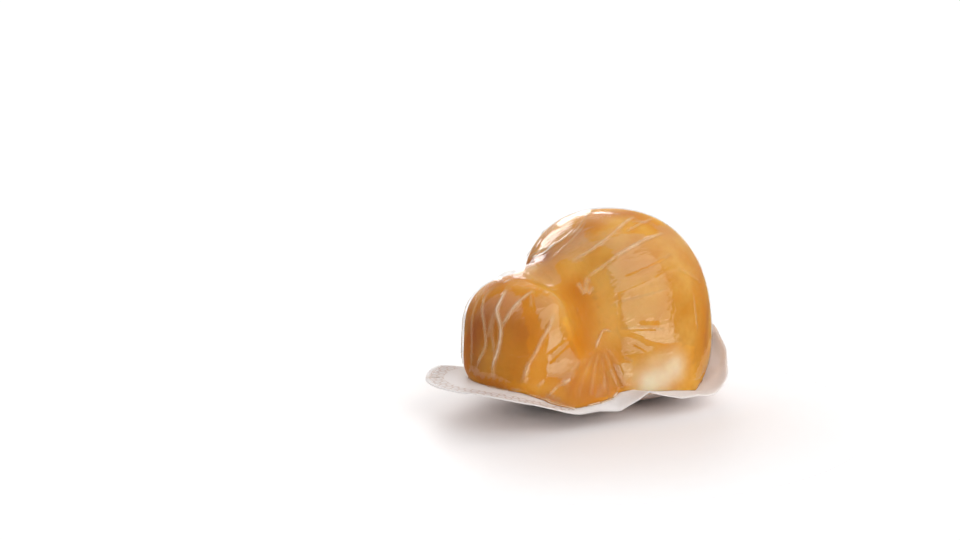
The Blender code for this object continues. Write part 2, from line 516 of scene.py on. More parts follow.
# the rind's colours, with painted shade and sheen among them: (pixels, half width in mm, amount), or with
# bearings and tilts, and their centre in mm
rindSpots = {
    # dark brown: partly the smoke's own colour, partly painted shade on the head's left side and foot, under
    # the web and along its fan's creases
    "brown": [  # where the smoke took most, and painted shade
        ([(470, 300), (469, 330), (473, 362)], 6.5, 0.7),
        ([(512, 322), (524, 332)], 5.0, 0.5),
        ([(471, 370), (482, 380), (500, 387)], 2.6, 0.75),
        ([(490, 286), (501, 280), (514, 277)], 4.5, 0.65),
        ([(528, 264), (536, 260), (545, 257)], 3.0, 1.0),
        ([(528, 258), (536, 246), (548, 231), (560, 218), (576, 210)], 3.5, 0.6),
        ([(583, 226), (603, 215), (632, 213)], 5.0, 0.5),
        ([(600, 362), (596, 382), (582, 398)], 6.0, 0.45),
        ([(545, 398), (573, 404), (600, 398)], 2.0, 0.4),
        ([(700, 250), (708, 290), (706, 345)], 2.6, 0.5),
        ([(597, 352), (592, 372), (588, 398)], 1.3, 0.5),
        ([(601, 352), (605, 372), (609, 394)], 1.3, 0.55),
        ([(593, 356), (580, 372), (568, 396)], 1.3, 0.45),
        ([(607, 352), (616, 368), (622, 384)], 1.3, 0.5),
        ([(185, 30), (170, 10), (160, -10)], 8.0, 0.9, (-22, 0, 24)),
        ([(130, 20), (120, 0)], 5.0, 0.6, (-22, 0, 24)),
        ([(100, 25), (80, 10)], 6.0, 0.5, (18, 0, 24)),
        ([(20, -15), (-5, -20)], 5.0, 0.5, (18, 0, 24)),
    ],
    # deeper orange: partly the rind's own tone, partly painted shade in the neck's hollow, on the head's
    # middle and near the foot
    "orange": [  # in the hollows, partly painted shade
        ([(576, 290), (588, 312), (584, 335), (575, 352)], 6.0, 1.0),
        ([(505, 298), (528, 318), (518, 362)], 8.0, 0.75),
        ([(598, 214), (630, 214), (662, 228)], 5.0, 0.7),
        ([(694, 245), (704, 300), (702, 345)], 5.0, 0.8),
        ([(640, 236), (625, 262), (608, 290)], 4.0, 0.35),
        ([(548, 268), (566, 244), (596, 226)], 5.5, 0.65),
        ([(555, 372), (590, 392), (618, 386)], 5.0, 0.7),
        ([(90, 40), (90, 10), (90, -15)], 7.0, 1.0, (-9, 0, 22)),
        ([(60, 30), (45, 10), (40, -10)], 6.0, 0.5, (18, 0, 24)),
    ],
    # lighter gold: on the body's upper side a painted sheen of the film's haze, elsewhere the rind's clearer
    # gold
    "amber": [  # clear gold, above and between them, partly a painted sheen
        ([(601, 278), (606, 302), (610, 330)], 6.0, 1.0),
        ([(572, 264), (592, 252), (612, 240)], 6.0, 0.6),
        ([(110, 50), (60, 50)], 9.0, 0.6, (18, 0, 24)),
    ],
    "pale": [  # where another cheese or the cord kept the smoke off
        ([(649, 380), (662, 375), (674, 366)], 4.6, 0.9),
        ([(640, 378), (655, 366), (672, 358)], 4.2, 0.4),
        ([(68, -12), (82, -20)], 5.0, 0.8, (18, 0, 24)),
        ([(0, 15), (8, 25)], 6.0, 0.35, (18, 0, 24)),
    ],
}


def makeCheese():
    cheese = copyOfPocket("cheese")
    rings = ringsOf(cheese, lastRing)
    markSides(cheese, rings[: sealRing + 1])
    creaseRing(cheese, rings[sealRing], cheeseShape["corner"])
    selectVertices(cheese, sum(rings[sealRing + 1 :], []))
    bpy.ops.mesh.delete(type="VERT")
    bpy.ops.mesh.select_all(action="DESELECT")
    bpy.ops.mesh.select_non_manifold()
    bpy.ops.mesh.bridge_edge_loops()
    setMode(mode="OBJECT")
    subdivide(cheese, cheeseShape["levels"])
    standOut(cheese, cheeseShape["overBacking"])
    seat = groupWeights(cheese, "seat")
    liftSeat(cheese, seat)
    web = np.hypot(*(points(cheese)[:, :2] / mm - cheeseShape["web"]).T) / cheeseShape["webReach"]
    inward = cheeseShape["under"] * (1 - cheeseShape["tightFoot"] * seat)
    sculpt(cheese, sculpted, inward + cheeseShape["webDepth"] * smoothStep(1 - web))
    tree = surfaceTree(cheese)
    for name, spots in rindSpots.items():
        keepAttribute(cheese, name, spread(points(cheese), tree, spots))
    selectOnly(cheese)
    bpy.ops.object.shade_smooth_by_angle(angle=cheeseShape["smoothTo"])
    print("cheese:", len(cheese.data.polygons), "faces")
    return cheese


filmShape = {
    "levels": 3,
    "rimDrop": 0.55 * mm,  # brings the rim down onto the backing film
    "overBacking": 0.65 * mm,  # before that
    "seal": 0.6,  # how sharp the line is where it leaves the cheese
    "sealWhiteAndGlint": 0.8,  # how white that line is: the weld's own white and a painted glint along it
    "weldWidth": 0.7 * mm,
    "sealEvery": 4,  # the line is drawn through every fourth of its points
    "foldEnds": 0.2,  # share of a fold's length over which each end dies away
    "foldCrest": 1.5,
    "whiteCrest": 3.0,
    "whiteWidth": 0.85,  # of the fold's
}

# where the film isn't quite clear, rougher and faintly white; on the body's upper side and at the notch that
# white is a painted sheen: (pixels, half width in mm, amount)
hazeAndSheenSpots = [
    ([(602, 352), (598, 372), (592, 398)], 7.5, 1.0),
    ([(586, 366), (572, 382), (556, 392)], 5.0, 0.9),
    ([(540, 272), (549, 280)], 3.0, 0.6),
    ([(560, 250), (600, 228), (640, 215)], 5.0, 0.4),
]

# where it lies wet on the cheese and hardly mirrors
clinging = [
    # round the neck, below the first long fold
    ([(561, 268), (575, 272), (590, 266), (604, 256)], 4.5, 1.0),
    ([(566, 280), (576, 296)], 5.0, 1.0),
    ([(580, 285), (586, 305), (590, 322), (586, 345)], 4.2, 1.0),
    ([(599, 276), (605, 296), (608, 320), (607, 345)], 3.6, 1.0),
    ([(604, 356), (592, 372), (584, 385), (575, 399)], 6.0, 1.0),
    ([(642, 368), (662, 366), (686, 356)], 5.0, 1.0),
    ([(640, 383), (665, 384), (688, 374)], 5.0, 1.0),
    # left, right and under the head's long patch, and across it
    ([(527, 300), (531, 320), (536, 334)], 2.8, 1.0),
    ([(538, 338), (539, 358), (536, 384)], 4.0, 1.0),
    ([(567, 322), (576, 340), (585, 362), (578, 384)], 2.6, 1.0),
    ([(548, 384), (560, 389), (568, 394)], 3.6, 1.0),
    ([(570, 338), (549, 353)], 0.75, 1.0),
    ([(569, 346), (551, 363)], 0.7, 1.0),
    ([(466, 340), (467, 372), (486, 385), (512, 390), (536, 396)], 4.0, 1.0),
    # cracks and holes in the body's patch
    ([(642, 323), (658, 323)], 0.95, 1.0),
    ([(619, 294), (619, 310), (619, 328)], 0.5, 1.0),
    ([(618, 294), (645, 282), (664, 272)], 0.45, 1.0),
    ([(626, 276), (645, 268), (664, 259)], 0.5, 1.0),
    ([(620, 331), (640, 330), (655, 330)], 0.5, 1.0),
    ([(622, 334), (636, 336), (648, 343), (668, 346), (680, 344)], 1.1, 1.0),
    ([(658, 350), (672, 348)], 2.2, 1.0),
    ([(634, 345), (646, 352)], 0.5, 1.0),
    ([(618, 360), (636, 358), (654, 355)], 1.8, 1.0),
    ([(616, 338), (618, 347), (616, 356)], 1.6, 1.0),
    # round the notch, the body's upper edge and the head's top
    ([(526, 262), (535, 248), (545, 234), (556, 222), (572, 213)], 9.0, 1.0),
    ([(572, 213), (595, 209), (620, 210), (650, 217)], 7.0, 1.0),
    ([(584, 221), (600, 218), (622, 220)], 6.0, 1.0),
    ([(596, 233), (620, 226), (648, 229)], 5.0, 1.0),
    ([(545, 283), (556, 286), (566, 293)], 3.0, 1.0),
    ([(500, 276), (512, 274), (524, 269), (536, 268)], 6.0, 1.0),
    ([(474, 299), (486, 288), (500, 281), (514, 279), (530, 285)], 8.0, 1.0),
    ([(90, 30), (90, 0)], 5.0, 0.9, (-9, 0, 22)),
]

# patches among these that mirror all the same
mirroring = [
    ([(546, 241), (551, 236)], 2.9, 1.0),
    ([(536, 247), (539, 242)], 1.2, 1.0),
    ([(562, 222), (566, 219)], 2.6, 1.0),
    ([(577, 214), (586, 211)], 2.3, 1.0),
    ([(521, 273), (528, 270)], 4.6, 1.0),
    ([(498, 278), (500, 281)], 1.3, 1.0),
    ([(537, 272), (543, 281)], 3.2, 1.0),
    ([(547, 270), (552, 281)], 3.2, 1.0),
]

# the film's folds on the near side: (pixels in the photograph, half width and height in mm, how white); the
# white is partly the fold's own and partly painted glint and reflection
folds = [
    # on the body, drawn tight from the neck up over its top
    ([(568, 263), (589, 252), (597, 246), (605, 240), (625, 223), (636, 215)], 0.8, 0.45, 0.65),
    ([(560, 241), (575, 232), (586, 217), (598, 208)], 0.7, 0.3, 0.5),
    ([(624, 233), (640, 224), (654, 218)], 0.6, 0.3, 0.45),
    ([(583, 282), (589, 276), (605, 265), (621, 253), (639, 243), (652, 237), (666, 232)], 0.75, 0.5, 0.65),
    ([(600, 303), (617, 295), (645, 282), (663, 272), (682, 266)], 0.6, -0.35, 0.0),
    ([(625, 275), (645, 268), (663, 259), (674, 252)], 0.6, 0.2, 0.15),
    ([(604, 309), (622, 301), (650, 294), (671, 287)], 0.5, -0.25, 0.1),
    ([(619, 292), (619, 310), (618, 322), (616, 340)], 0.4, -0.05, 0.0),
    ([(646, 323), (654, 323)], 1.1, -0.25, 0.0),
    ([(693, 293), (697, 329), (698, 333)], 0.5, 0.4, 0.25),
    ([(676, 268), (690, 275), (702, 284)], 1.0, 0.3, 0.1),
    # a small hook of painted highlight beside the neck, white on low folds
    ([(589, 276), (586, 285), (587, 295)], 1.2, 0.06, 0.5),
    ([(593, 286), (588, 295)], 0.8, 0.05, 0.45),
    ([(577, 282), (583, 291), (586, 295)], 1.0, 0.05, 0.45),
    # where the body curves under, its highlight ends in fingers, with a little painted highlight in white
    ([(620, 329), (640, 328), (666, 329)], 0.7, 0.12, 0.2),
    ([(623, 356), (634, 362)], 0.6, 0.2, 0.3),
    # on the head, down from its top
    ([(499, 284), (488, 293), (483, 304), (483, 315), (485, 328), (486, 340), (485, 349), (480, 359),
      (477, 368), (481, 377)], 0.75, 0.4, 0.6),
    ([(510, 283), (505, 292), (500, 303), (497, 310), (499, 320), (501, 329), (500, 341), (497, 355),
      (494, 364), (493, 384)], 0.85, 0.55, 0.75),
    ([(536, 289), (526, 296), (517, 304), (510, 313), (504, 324), (502, 331)], 0.75, 0.5, 0.7),
    ([(496, 309), (492, 320), (490, 328), (487, 341)], 0.8, 0.3, 0.35),
    ([(556, 312), (547, 331), (542, 339), (538, 348), (533, 357), (528, 365), (525, 373),
      (521, 386)], 0.75, 0.4, 0.6),
    ([(531, 294), (531, 308)], 0.5, 0.25, 0.35),
    ([(545, 380), (537, 387)], 0.7, 0.35, 0.45),
    ([(562, 382), (555, 389), (548, 396)], 0.7, 0.4, 0.4),
    ([(568, 339), (550, 358)], 0.5, -0.45, 0.0),
    ([(569, 347), (554, 362)], 0.5, -0.4, 0.0),
    ([(556, 303), (550, 318), (543, 334)], 0.5, -0.25, 0.0),
    ([(501, 352), (512, 353), (521, 355), (533, 351), (538, 347)], 0.6, -0.4, 0.0),
    # the web between head and body, gathered like a fan under its crinkled top, with painted glints on the
    # first two
    ([(561, 384), (571, 379)], 0.8, 0.3, 0.55),
    ([(595, 350), (599, 339), (604, 330), (613, 332)], 0.5, 0.45, 0.6),
    ([(604, 346), (615, 359), (624, 379)], 0.8, 0.5, 0.15),
    ([(602, 348), (609, 364), (617, 384), (618, 392)], 0.8, 0.45, 0.15),
    ([(600, 350), (603, 370), (606, 394)], 0.9, 0.5, 0.1),
    ([(598, 351), (594, 372), (590, 398)], 0.9, 0.5, 0.15),
    ([(595, 353), (585, 372), (577, 400)], 0.9, 0.45, 0.1),
    ([(590, 357), (576, 366), (569, 378), (565, 395)], 0.9, 0.4, 0.1),
    ([(622, 388), (632, 388), (641, 389)], 0.5, -0.4, 0.0),
    # gathered at the notch, where the film stands off in small pleats; their white is a painted reflection,
    # and the last two, flat, are painted sheens
    ([(525, 260), (531, 252), (536, 245), (542, 236)], 0.6, 0.6, 0.5),
    ([(527, 260), (537, 253), (551, 247), (562, 241), (570, 234), (578, 226)], 0.5, 0.6, 0.75),
    ([(532, 259), (541, 252), (552, 243)], 0.5, 0.3, 0.2),
    ([(532, 258), (542, 254), (552, 247), (562, 241)], 0.6, 0.2, 0.9),
    ([(546, 263), (560, 251), (578, 233), (590, 216)], 0.6, 0.15, 0.35),
    ([(556, 254), (575, 243), (596, 232)], 3.0, 0.0, 0.22),
    ([(592, 241), (610, 233), (625, 229)], 2.4, 0.0, 0.2),
    # painted glints on the head's top and along the seal
    ([(496, 279), (500, 279), (503, 280)], 0.6, 0.2, 0.5),
    ([(502, 284), (506, 282), (511, 279)], 0.4, 0.3, 0.85),
    ([(489, 387), (498, 387)], 0.5, 0.3, 0.5),
    ([(511, 389), (521, 390)], 0.6, 0.3, 0.55),
    ([(528, 394), (541, 397)], 0.5, 0.3, 0.4),
    ([(560, 385), (567, 384)], 0.5, 0.3, 0.6),
    ([(611, 397), (619, 392)], 0.6, 0.3, 0.75),
]

# folds where the photograph doesn't see, round the middle of the body or the head in mm:
# (bearings from +X towards +Y and tilts in degrees, half width and height in mm, how white)
farFolds = {
    "body": {
        "centre": (18.0, 0.0, 24.0),
        "lines": [
            ([(122, 56), (102, 45), (80, 40), (60, 42)], 0.8, 0.4, 0.45),
            ([(125, 40), (105, 30), (85, 25), (66, 27), (52, 31)], 0.8, 0.45, 0.5),
            ([(128, 24), (108, 15), (92, 12), (75, 14)], 0.7, 0.35, 0.4),
            ([(126, 6), (110, 0), (95, -2)], 0.7, 0.35, 0.35),
            ([(46, 55), (34, 38), (25, 22), (20, 6)], 0.8, 0.35, 0.35),
            ([(12, 48), (3, 31), (-3, 12), (-5, -4)], 0.7, 0.3, 0.3),
            ([(70, 4), (57, -8), (50, -22)], 0.8, -0.35, 0.1),
            ([(-32, 40), (-24, 24), (-18, 10)], 0.7, 0.3, 0.3),
            ([(30, -2), (18, -10), (6, -14)], 0.7, 0.3, 0.2),
        ],
    },
    "head": {
        "centre": (-22.0, 0.0, 24.0),
        "lines": [
            ([(98, 62), (112, 42), (118, 22), (117, 2), (114, -18)], 0.9, 0.45, 0.45),
            ([(138, 56), (146, 35), (150, 12), (150, -10), (146, -24)], 0.8, 0.5, 0.5),
            ([(168, 52), (172, 30), (176, 8), (175, -14)], 0.8, 0.4, 0.4),
            ([(200, 45), (199, 22), (203, 2), (201, -18)], 0.7, 0.4, 0.35),
            ([(168, -4), (155, -12), (140, -14)], 0.6, -0.35, 0.1),
            ([(128, 28), (137, 18), (146, 15)], 0.6, 0.3, 0.35),
        ],
    },
}

gathers = {  # short pleats that run out over the seal line
    "count": 44,
    "seed": 5,
    "rings": (15, 16, 17, 18, 19),
    "shortest": 2,  # rings from end to end, where there are that many
    "width": (0.5, 0.9),  # mm
    "height": (0.15, 0.4),  # mm
    "white": (0.0, 0.25),
    "spared": (205, 305),  # bearings where the photograph's own folds are drawn instead
}


def makeFilm():
    # gives the film, and its seal line's and edge's bearings and distances from the middle
    film = copyOfPocket("clear_film")
    pleats = gatherLines(film)
    rings = ringsOf(film, edgeRing)
    markSides(film, rings)
    markRings(film, "rim", rings[sealRing:], [1.0] * pocketRings["over"])
    markRings(film, "seal", [rings[sealRing]], [1.0])
    markRings(film, "wave", rings[sealRing:], rimWave["shares"])
    creaseRing(film, rings[sealRing], filmShape["seal"])
    selectVertices(film, sum(rings, []))
    bpy.ops.mesh.select_all(action="INVERT")
    bpy.ops.mesh.delete(type="VERT")
    setMode(mode="OBJECT")
    selectVertices(film, ringsOf(film, 1)[1])
    bpy.ops.mesh.dissolve_edges(use_verts=True)
    setMode(mode="OBJECT")
    subdivide(film, filmShape["levels"])
    film.data.shade_smooth()
    standOut(film, filmShape["overBacking"])
    onRim = groupWeights(film, "rim")
    rimLines = [inPlan(points(film)[groupWeights(film, name) > wholeWeight])[:2] for name in ("seal", "wave")]
    liftSeat(film, np.where(onRim > wholeWeight, nearSeal(film, rimLines), groupWeights(film, "seat")))
    waveRim(film)
    sculpt(film, sculpted | standingOff, filmShape["rimDrop"] * onRim)
    tree = surfaceTree(film)
    pinchFolds(film, tree, pleats)
    places = points(film)
    held = np.maximum(onRim, spread(places, tree, clinging))
    keepAttribute(film, "bonded", held * (1 - spread(places, tree, mirroring)))
    keepAttribute(film, "haze", spread(places, tree, hazeAndSheenSpots))
    print("film:", len(film.data.polygons), "faces")
    return film, rimLines


def gatherLines(film):
    # from the pocket out over the seal line, along columns of the film's own points
    chance = np.random.default_rng(gathers["seed"])
    places = points(film)
    rings = ringsOf(film, max(gathers["rings"]))
    ordered = []
    for k in gathers["rings"]:
        away = places[rings[k], :2] - places[rings[0][0], :2]
        ordered.append(places[rings[k]][np.argsort(np.arctan2(away[:, 1], away[:, 0]))])
    found = []
    for column in chance.choice(len(ordered[0]), gathers["count"], replace=False):
        first, last = sorted(chance.choice(len(ordered), 2, replace=False))
        if first + gathers["shortest"] < len(ordered):
            last = max(last, first + gathers["shortest"])
        line = [ring[column] for ring in ordered[first : last + 1]]
        drawn = [chance.uniform(*gathers[k]) for k in ("width", "height", "white")]
        low, high = gathers["spared"]
        if not low < inPlan(line[0][None])[0][0] < high:
            found.append((line, *drawn))
    return found


def sealLine(film):
    # the seal line's own points, round the pack
    places = points(film)[groupWeights(film, "seal") > wholeWeight]
    outward = inPlan(places)[2]
    ordered = places[np.argsort(np.arctan2(outward[:, 1], outward[:, 0]))][:: filmShape["sealEvery"]]
    return [*ordered, ordered[0]]


def pinchFolds(film, tree, pleats):
    lines = [(surfaceLine(tree, corners), *rest) for corners, *rest in folds]
    for side in farFolds.values():
        lines += [(surfaceLine(tree, corners, side["centre"]), *rest) for corners, *rest in side["lines"]]
    places, ways = points(film), normals(film)
    raised, whiteningAndSheen = np.zeros(len(places)), np.zeros(len(places))
    # each fold's white is partly its own whitening and partly a painted glint and reflection
    for line, width, height, white in lines + pleats:
        width, ends = width * mm, filmShape["foldEnds"]
        raised += height * mm * stroke(places, line, width, ends, filmShape["foldCrest"])
        whiteStroke = stroke(places, line, width * filmShape["whiteWidth"], ends, filmShape["whiteCrest"])
        whiteningAndSheen = np.maximum(whiteningAndSheen, white * whiteStroke)
    # the seal line's white, its own weld and a painted glint along it
    sealWhiteAndGlint = filmShape["sealWhiteAndGlint"] * stroke(places, sealLine(film), filmShape["weldWidth"])
    movePoints(film, places + ways * raised[:, None])
    keepAttribute(film, "crease", np.maximum(whiteningAndSheen, sealWhiteAndGlint))


backingShape = {
    "levels": 2,
    "drop": 0.1 * mm,
    "thick": 0.3 * mm,
    "printed": 2,  # rings in from the seal line that the edge lines may reach
}


def markEdge(piece, rings):
    # a vertex group with the distance from the edge along the film, as a share of the edge lines' reach
    group, places, mates = piece.vertex_groups.new(name="inward"), points(piece), neighbours(piece)
    away = dict.fromkeys(rings[0], 0.0)
    for ring in rings[1:]:
        known = {i: [j for j in mates[i] if j in away] for i in ring}
        away |= {i: min(away[j] + np.linalg.norm(places[i] - places[j]) for j in known[i]) for i in ring}
    for i in range(len(places)):
        group.add([i], min(away.get(i, np.inf) / mm / printLook["edgeLines"]["reach"], 1.0), "REPLACE")


def makeBacking(rimLines):
    backing = copyOfPocket("backing")
    rings = ringsOf(backing, lastRing + backingShape["printed"])
    markRings(backing, "wave", rings[lastRing:edgeRing:-1], rimWave["shares"])
    markEdge(backing, rings[edgeRing + 1 :])
    selectVertices(backing, sum(rings[: edgeRing + 1], []))
    bpy.ops.mesh.delete(type="VERT")
    bpy.ops.mesh.select_all(action="SELECT")
    bpy.ops.mesh.flip_normals()
    setMode(mode="OBJECT")
    subdivide(backing, backingShape["levels"])
    liftSeat(backing, nearSeal(backing, rimLines))
    waveRim(backing)
    movePoints(backing, points(backing) - normals(backing) * backingShape["drop"])
    keepAttribute(backing, "fromEdge", groupWeights(backing, "inward"))
    for name, strength in printStrength.items():
        backing.data.materials.append(backingMaterial(name, strength))
    applyModifier(backing, "SOLIDIFY", thickness=backingShape["thick"], offset=-1.0, material_offset=1)
    backing.data.shade_smooth()
    print("backing:", len(backing.data.polygons), "faces")
    return backing


def settleFoot(cheese, backing):
    # brings the cheese's foot down onto the backing film, all round
    places, share = points(cheese), groupWeights(cheese, "seat")
    bearings = inPlan(places)[0]
    tree = surfaceTree(backing)
    found = []
    for i in np.flatnonzero(share > wholeWeight):
        floor = heightUnder(tree, places[i])
        if floor is not None:
            found.append((bearings[i], places[i, 2] - floor - cheeseShape["footGap"]))
    around, gaps = zip(*sorted(found))
    print(f"foot: {min(gaps) / mm:.2f} to {max(gaps) / mm:.2f} mm down to the backing film")
    places[:, 2] -= np.interp(bearings, around, gaps, period=360) * share
    movePoints(cheese, places)


cheeseLook = {
    "gold": "d48f2e",
    "light": "dea449",
    "orange": "d0821f",
    # the brown and orange spots also paint shade, and the amber ones a sheen
    "brown": "b5662c",
    "amber": "e6b05a",
    "pale": "ebdcbd",
    "cloudSize": 11.0 * mm,
    "clouds": (0.35, 0.65),
    "ragged": (0.3, 0.7, -0.18, 0.18),  # the clouds break up each spot's edge
    "grainSize": 1.6 * mm,
    "grain": (0, 1, 0.92, 1.06),
    "grainHeight": 0.15 * mm,
    "scatter": (3.0, 1.4, 0.5),  # mm, for red, green and blue
}


def cheeseMaterial():
    # a pressed curd rind coloured by wood smoke: golden, cloudy, darker where the smoke settled, with painted
    # shade and a painted sheen in places, and light goes into it
    look = cheeseLook
    made, add, place = newMaterial("scamorza rind, smoked over wood")
    cloudy = {"Scale": 1 / look["cloudSize"], "Detail": 3.0, "Roughness": 0.6}
    clouds = add("TexNoise", cloudy | {"Vector": place})
    grain = add("TexNoise", {"Scale": 1 / look["grainSize"], "Detail": 4.0, "Vector": place})
    share = add("MapRange", dict(zip(ramp, look["clouds"]), Value=clouds))
    both = {"data_type": "RGBA", 6: hexColour(look["gold"]), 7: hexColour(look["light"])}
    colour = add("Mix", both | {0: share}, 2)
    ragged = add("MapRange", dict(zip(ramp, look["ragged"]), Value=clouds))
    for name in ("orange", "brown", "amber", "pale"):
        spot = add("Attribute", {"attribute_name": name}, "Fac")
        edge = add("Math", {"operation": "MULTIPLY_ADD", 0: spot, 1: ragged, 2: spot})
        colour = add("Mix", {"data_type": "RGBA", 0: edge, 6: colour, 7: hexColour(look[name])}, 2)
    shade = add("MapRange", dict(zip(ramp, look["grain"]), Value=grain))
    colour = add("VectorMath", {"operation": "SCALE", 0: colour, "Scale": shade})
    skin = add("Bump", {"Strength": 0.5, "Distance": look["grainHeight"], "Height": grain})
    wet = {"Roughness": 0.5, "IOR": 1.45, "Specular IOR Level": 0.05}  # with the film on it
    light = {"Subsurface Weight": 0.6, "Subsurface Radius": look["scatter"], "Subsurface Scale": mm}
    rind = add("BsdfPrincipled", wet | light | {"Base Color": colour, "Normal": skin})
    add("OutputMaterial", {"Surface": rind})
    return made


filmLook = {
    # the folds' pale colour, partly their own whitening and partly a painted sheen, and the colour of painted
    # glints for the brightest
    "whiteningAndSheen": "ecc698",
    "paintedGlint": "fbf6f0",
    "paintedGlintFrom": (0.62, 0.85),  # how white a fold is where it turns from the one to the other
    "wornSize": 2.5 * mm,  # patches in which the whitening is worn
    "worn": (0.3, 0.7, 0.55, 1.1),
    "milkyAndSheen": 0.03,  # how white the haze is, a faint painted sheen in places
    "roughness": (0, 1, 0.05, 0.5),  # clear and hazy
    "camber": (10.0 * mm, 0.2 * mm),  # size and height of the slow unevenness
    "ripples": ((1.4, 9.0, 1.4), 0.16 * mm),  # drawn out along the film's pull: size in mm, height
    "hair": ((0.5, 6.0, 0.5), 0.03 * mm),
    "bodyPull": (0.72, -0.60, 0.34),  # which way the film was pulled
    "headPull": (0.54, -0.45, 0.71),
    "neck": (-14 * mm, -6 * mm),  # along the pack, where the pull turns from the head's to the body's
    "shine": 0.1,  # two faces of a film of IOR 1.58, seen straight on
    "steepest": 0.45,  # how much more it mirrors at its edges
    "drawnOut": 0.9,  # how far the ripples draw out the edge of what clings
    "clinging": (0.85, 1.05, 1.0, 0.05),  # little shines where it is sealed or lies wet on the cheese
}


def streaks(add, place, onBody, normal, sizes, height):
    # noise drawn out along the film's pull, which turns from the head to the body, and the bumps it gives
    found = []
    for pull in (filmLook["headPull"], filmLook["bodyPull"]):
        turn = Vector(pull).to_track_quat("Y", "Z").to_euler()
        drawn = {"vector_type": "TEXTURE", "Rotation": turn, "Scale": [v * mm for v in sizes]}
        along = add("Mapping", drawn | {"Vector": place})
        found.append(add("TexNoise", {"Scale": 1.0, "Detail": 2.0, "Vector": along}))
    noise = add("Mix", {0: onBody, 2: found[0], 3: found[1]})
    return noise, add("Bump", {"Distance": height, "Height": noise, "Normal": normal})


def filmMaterial():
    # clear barrier film sucked tight: almost invisible, but it mirrors the lamps; its folds are partly
    # whitened by stretching, and glints, reflections and sheens are painted onto them in white
    look = filmLook
    made, add, place = newMaterial("clear barrier film, vacuum drawn")
    size, height = look["camber"]
    camber = add("TexNoise", {"Scale": 1 / size, "Detail": 2.0, "Vector": place})
    slow = add("Bump", {"Distance": height, "Height": camber})
    across = add("SeparateXYZ", {0: place})
    onBody = add("MapRange", dict(zip(ramp, look["neck"]), Value=across))
    ripples, rippled = streaks(add, place, onBody, slow, *look["ripples"])
    uneven = streaks(add, place, onBody, rippled, *look["hair"])[1]
    kept = ("haze", "crease", "bonded")
    haze, crease, bonded = (add("Attribute", {"attribute_name": name}, "Fac") for name in kept)
    # the folds' white and painted glints, worn in patches but for the brightest
    strong = add("MapRange", dict(zip(ramp, look["paintedGlintFrom"]), Value=crease))
    both = {"data_type": "RGBA", 6: hexColour(look["whiteningAndSheen"]), 7: hexColour(look["paintedGlint"])}
    white = add("BsdfDiffuse", {"Color": add("Mix", both | {0: strong}, 2)})
    patches = add("TexNoise", {"Scale": 1 / look["wornSize"], "Detail": 3.0, "Vector": place})
    worn = add("MapRange", dict(zip(ramp, look["worn"]), Value=patches))
    even = add("Mix", {0: strong, 2: worn, 3: 1.0})
    foldWhiteAndGlintShown = add("Math", {"operation": "MULTIPLY", 0: crease, 1: even})
    # the white share: the haze's milky white with a faint painted sheen, and the folds' white with painted
    # glints
    milkyAndSheen = add("Math", {"operation": "MULTIPLY_ADD", 0: haze, 1: look["milkyAndSheen"], 2: foldWhiteAndGlintShown})
    sheet = add("MixShader", {0: milkyAndSheen, 1: add("BsdfTransparent"), 2: white})
    rough = add("MapRange", dict(zip(ramp, look["roughness"]), Value=haze))
    gloss = add("BsdfAnisotropic", {"Roughness": rough, "Normal": uneven})
    # it mirrors more the flatter it is seen
    facing = add("LayerWeight", {"Blend": 0.5, "Normal": uneven}, "Facing")
    steep = add("Math", {"operation": "POWER", 0: facing, 1: 5.0})
    share = add("Math", {"operation": "MULTIPLY_ADD", 0: steep, 1: look["steepest"], 2: look["shine"]})
    torn = add("Math", {"operation": "MULTIPLY_ADD", 0: ripples, 1: look["drawnOut"], 2: bonded})
    held = add("MapRange", eased | dict(zip(ramp, look["clinging"]), Value=torn))
    shine = add("Math", {"operation": "MULTIPLY", 0: share, 1: held})
    mix = add("MixShader", {0: shine, 1: sheet, 2: gloss})
    add("OutputMaterial", {"Surface": mix})
    return made


printLook = {  # a plain pattern in the scale and colours of such a pack, in mm in plan
    "film": "fcf9f8",
    "blush": "efdcd2",
    "tan": "b98f6c",
    "ink": "5a463e",
    "green": "6d9a5b",
    "red": "bd5a4c",
    "ringBand": {"centre": (-26.8, 0.0), "from": 24.5, "to": 29.5, "pitch": 3.3, "line": (0.26, 0.4)},
    "blushField": {"centre": (20.0, 0.0), "stretch": (0.8, 1.0), "reach": 27.0, "soft": 3.0},
    "rows": {"centre": (17.0, -9.0), "reach": (20.0, 9.5), "dash": 3.8, "row": 1.9},
    "bars": {"centre": (17.0, 11.0), "reach": (15.0, 4.4), "dash": 30.0, "row": 3.2},
    "dots": {"green": (39.5, 13.0), "red": (39.5, 5.0), "reach": 2.6},
    "edgeLines": {"from": 1.6, "to": 6.0, "dash": 2.2, "row": 1.45, "radius": 38.0, "reach": 14.0},
    "dashes": {"offset": 0.37, "squash": 0.7, "squash_frequency": 3, "Mortar Smooth": 0.2, "Scale": 1.0},
    "gap": 0.24,  # between the dashes, of a row's height
    "soft": 0.12,  # how soft an edge is
    "softDash": 0.3,
}
printStrength = {  # on the film's inside, where the print shows through, and on its outside
    "white polyethylene film": {"rings": 0.5, "rest": 0.12, "lines": 0.02},
    "white polyethylene film, flexographic print": {"rings": 1.0, "rest": 1.0, "lines": 0.55},
}


def inside(add, *limits):
    # 1 where every value is within its limits and 0 outside; each is (value, from or None, to, softness)
    share = None
    for value, low, high, soft in limits:
        for edge, ends in ((low, (0, 1)), (high, (1, 0))):
            if edge is None:
                continue
            step = add("MapRange", eased | dict(zip(ramp, (edge - soft, edge + soft, *ends)), Value=value))
            share = step if share is None else add("Math", {"operation": "MULTIPLY", 0: share, 1: step})
    return share


